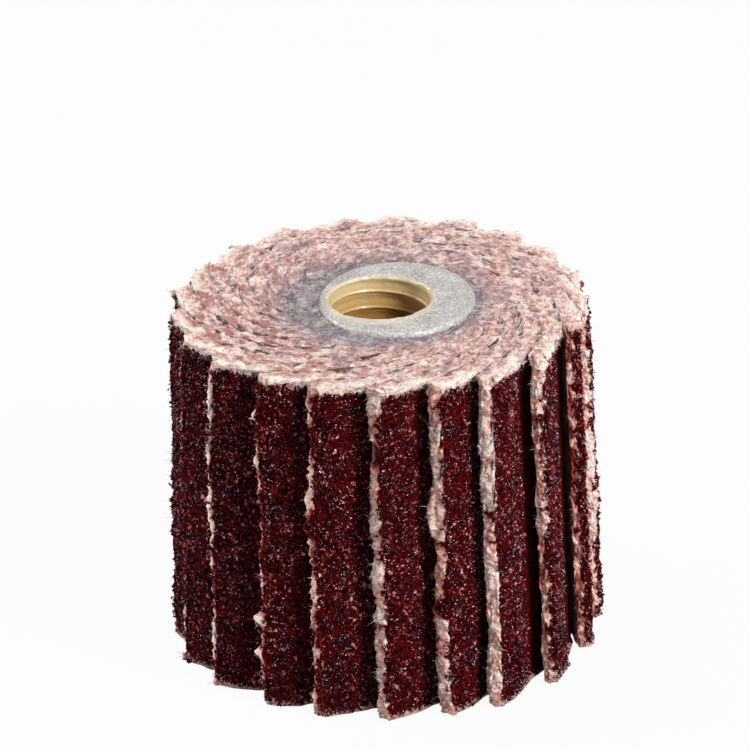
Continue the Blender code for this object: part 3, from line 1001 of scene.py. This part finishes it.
def potting_adhesive():
    """Epoxy adhesive with grit dust stirred in: a rough purple grey, freckled with pale dust."""
    material, tree, shader = new_material("potting adhesive", {"Roughness": 0.5, "IOR": 1.55})
    whole = add(tree, "TexCoord").outputs["Object"]
    inputs = {"Vector": whole, "Scale": 1 / (0.9 * MM), "Detail": 6.0, "Roughness": 0.75}
    clouds = add(tree, "TexNoise", inputs)
    stops = ((0.34, "#43383d"), (0.47, "#6f6268"), (0.57, "#988a8d"), (0.68, "#cbbebc"))
    colour = add(tree, "ValToRGB", {0: clouds}, stops)
    # Dust specks, drawn at 0.12 mm so that they show
    inputs = {"Vector": whole, "Scale": 1 / (0.12 * MM), "Detail": 3.0, "Roughness": 0.7}
    specks = add(tree, "TexNoise", inputs)
    speck = add(tree, "MapRange", {0: specks, 1: 0.54, 2: 0.68, 3: 0.0, 4: 0.9})
    colour = add(tree, "Mix", {0: speck, 6: colour, 7: srgb("#f0ebea")}, data_type="RGBA").outputs[2]
    link(tree, colour, shader.inputs["Base Color"])
    bump = add(tree, "Bump", {"Height": specks, "Strength": 0.6, "Distance": 0.08 * MM})
    link(tree, bump, shader.inputs["Normal"])
    return material


def white_table():
    """A matt white table that shows as plain white, with the object's own shadow on it."""
    material, tree, shader = new_material("white table", {"Roughness": 0.9})
    # Faint mottling, 20 mm across, as painted board has
    whole = add(tree, "TexCoord").outputs["Object"]
    mottle = add(tree, "TexNoise", {"Vector": whole, "Scale": 1 / (20 * MM), "Detail": 2.0})
    colour = add(tree, "ValToRGB", {0: mottle}, ((0.0, "#b0b0b0"), (1.0, "#bababa")))
    link(tree, colour, shader.inputs["Base Color"])
    # To the camera it glows, all but a small part that takes the shadow
    rays = add(tree, "LightPath").outputs["Is Camera Ray"]
    part = add(tree, "Math", {0: rays, 1: 0.955}, operation="MULTIPLY")
    glow = add(tree, "Emission", {"Color": srgb("#ffffff"), "Strength": 1.0})
    mix = add(tree, "MixShader", {0: part, 1: shader, 2: glow})
    link(tree, mix, tree.nodes["Material Output"].inputs["Surface"])
    return material


def make_camera():
    """At the photograph's angle: 24.4 degrees above the top face, 450 mm away, rolled a little."""
    lens = bpy.data.cameras.new("camera")
    lens.sensor_width = 36.0
    lens.lens = 308.3
    camera = bpy.data.objects.new("camera", lens)
    bpy.context.scene.collection.objects.link(camera)
    rise, roll, distance = math.radians(24.4), math.radians(-1.8), 0.45
    face = Vector((0.0, 0.0, WIDTH * MM))
    camera.location = face + distance * Vector((0.0, -math.cos(rise), math.sin(rise)))
    # It looks at what lies in the middle of the photograph
    aim = Vector((-0.00051, 0.0, 0.019244))
    look = (aim - camera.location).to_track_quat("-Z", "Y")
    camera.rotation_mode = "QUATERNION"
    camera.rotation_quaternion = look @ Quaternion((0.0, 0.0, 1.0), roll)
    bpy.context.scene.camera = camera


def add_lamp(name, place, size, power):
    """A rectangular lamp, in metres and watts, turned towards the middle of the wheel."""
    lamp = bpy.data.lights.new(name, "AREA")
    lamp.shape = "RECTANGLE"
    lamp.size, lamp.size_y = size
    lamp.energy = power
    thing = bpy.data.objects.new(name, lamp)
    bpy.context.scene.collection.objects.link(thing)
    thing.location = place
    aim = Vector((0, 0, 0.012)) - Vector(place)
    thing.rotation_euler = aim.to_track_quat("-Z", "Y").to_euler()


def make_stage():
    """The table, the lamps, and white surroundings that light the wheel only faintly."""
    bpy.ops.mesh.primitive_plane_add(size=4.0, location=(0.0, 0.0, -0.2 * MM))
    table = bpy.context.object
    table.name = "table"
    table.data.materials.append(white_table())
    add_lamp("key softbox", (0.43, -0.36, 0.47), (0.2, 0.2), 6.0)
    add_lamp("top light", (-0.1, 0.1, 0.6), (0.4, 0.4), 1.2)
    add_lamp("left card", (-0.52, 0.16, 0.12), (0.3, 0.4), 3.2)
    world = bpy.data.worlds.new("studio")
    bpy.context.scene.world = world
    world.use_nodes = True
    tree = world.node_tree
    rays = add(tree, "LightPath").outputs["Is Camera Ray"]
    strength = add(tree, "MapRange", {0: rays, 3: 0.12, 4: 1.0})
    link(tree, strength, tree.nodes["Background"].inputs["Strength"])
    tree.nodes["Background"].inputs["Color"].default_value = (1.0, 1.0, 1.0, 1.0)
    bpy.context.scene.view_settings.view_transform = "Standard"


def main():
    make_camera()
    make_stage()
    make_hub(cast_resin())
    make_potting(potting_adhesive())
    cloth, oxide, fibre = cut_coated_cloth(), crushed_oxide(), cotton_fibre()
    pattern = Cloth()
    rng = np.random.default_rng(SHAPE_SEED)
    # Coarse grains have nine corners, small ones six
    coarse = [crushed_grain(rng, 9) for _ in range(12)]
    small = [crushed_grain(rng, 6) for _ in range(12)]
    for flap in range(FLAPS):
        body = make_cloth(flap, pattern, cloth)
        grit = make_grit(flap, coarse, small, oxide)
        loose = make_fray(flap, fibre)


main()
